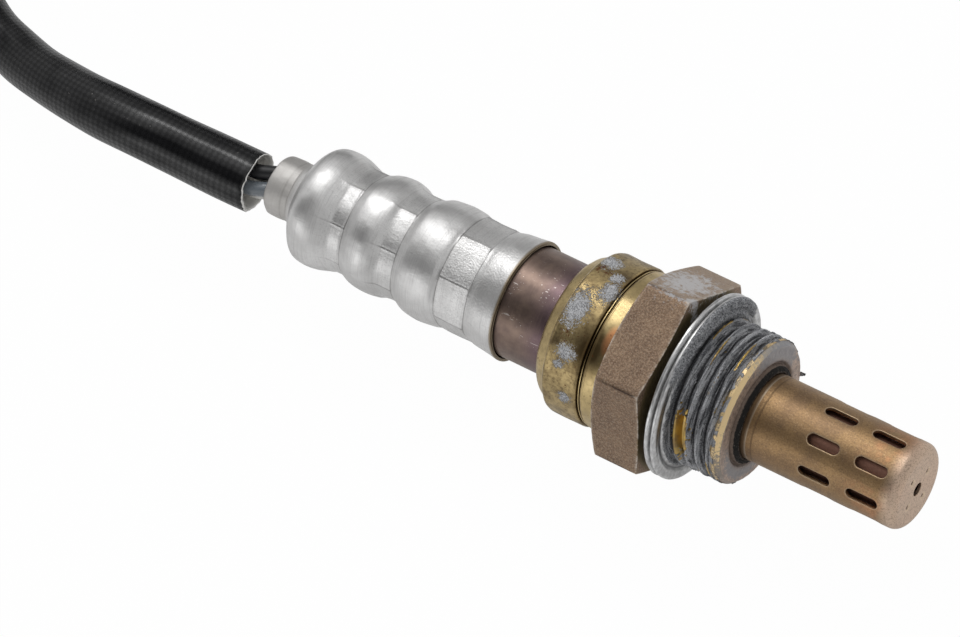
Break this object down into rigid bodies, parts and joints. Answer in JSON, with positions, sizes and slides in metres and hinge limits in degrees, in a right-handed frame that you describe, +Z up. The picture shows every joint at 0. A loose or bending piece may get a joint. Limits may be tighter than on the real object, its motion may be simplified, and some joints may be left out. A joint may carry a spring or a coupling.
{
  "type": "oxygen sensor",
  "caption": "Heated exhaust oxygen sensor with threaded hex shell, crush gasket, slotted protection tube, crimped steel cover and a coiled braided lead ending in a plug.",
  "frame": {"origin": "on the sensor's axis, at the face of the crush gasket that seals on the exhaust boss", "axes": "+X along the axis towards the sensing tip, +Z up with the sensor lying on its gasket's rim and the lead's coil"},
  "size_m": [0.1608, 0.1087, 0.023],
  "materials": {
    "shell_steel": "yellow-passivated zinc plate dulled by heat, bare crests on the thread",
    "gasket_steel": "plain folded strip with smears of paste",
    "tube_steel": "heat-tinted drawn stainless",
    "inner_tube_steel": "dark heat-tinted stainless",
    "zirconia": "sintered, porous platinum outside",
    "talc": "pressed powder",
    "steatite": "matt fired",
    "washer_steel": "plain",
    "alumina": "matt fired",
    "contact_steel": "nickel-plated strip",
    "inner_sleeve_steel": "purple-brown heat tint",
    "cover_steel": "satin drawn stainless, crimp marks",
    "grommet_rubber": "matt fluoro rubber",
    "wire_black": "smooth insulation over copper",
    "wire_grey": "smooth insulation over copper",
    "wire_white": "smooth insulation over copper",
    "lead_braid": "glass-fibre sleeve, black varnish, over four wires",
    "tie_nylon": "moulded nylon",
    "plug_rubber": "moulded boot",
    "seal_silicone": "silicone",
    "plug_nylon": "glass-filled nylon, fine spark texture",
    "lock_nylon": "moulded nylon",
    "terminal_tin": "tin-plated strip"
  },
  "bodies": {
    "root": {"hex_shell": "shell_steel", "seal_gasket": "gasket_steel", "outer_protection_tube": "tube_steel", "inner_protection_tube": "inner_tube_steel", "zirconia_element": "zirconia", "packing_washer": "washer_steel", "talc_ring": "talc", "ceramic_bush": "steatite", "crimp_washer": "washer_steel", "heater_rod": "alumina", "signal_contact": "contact_steel", "ground_contact": "contact_steel", "inner_sleeve": "inner_sleeve_steel", "outer_sleeve": "cover_steel", "ceramic_separator": "steatite", "spring_ring": "contact_steel", "cable_grommet": "grommet_rubber", "terminal_black": "contact_steel", "terminal_grey": "contact_steel", "terminal_white_a": "contact_steel", "terminal_white_b": "contact_steel", "wire_black": "wire_black", "wire_grey": "wire_grey", "wire_white_a": "wire_white", "wire_white_b": "wire_white", "braided_lead": "lead_braid", "lead_coil": "lead_braid", "coil_tie": "tie_nylon", "lead_tail": "lead_braid", "plug_boot": "plug_rubber", "plug_wire_seal": "seal_silicone", "plug_housing": "plug_nylon", "plug_lock": "lock_nylon", "plug_terminal_1": "terminal_tin", "plug_terminal_2": "terminal_tin", "plug_terminal_3": "terminal_tin", "plug_terminal_4": "terminal_tin"}
  },
  "joints": []
}
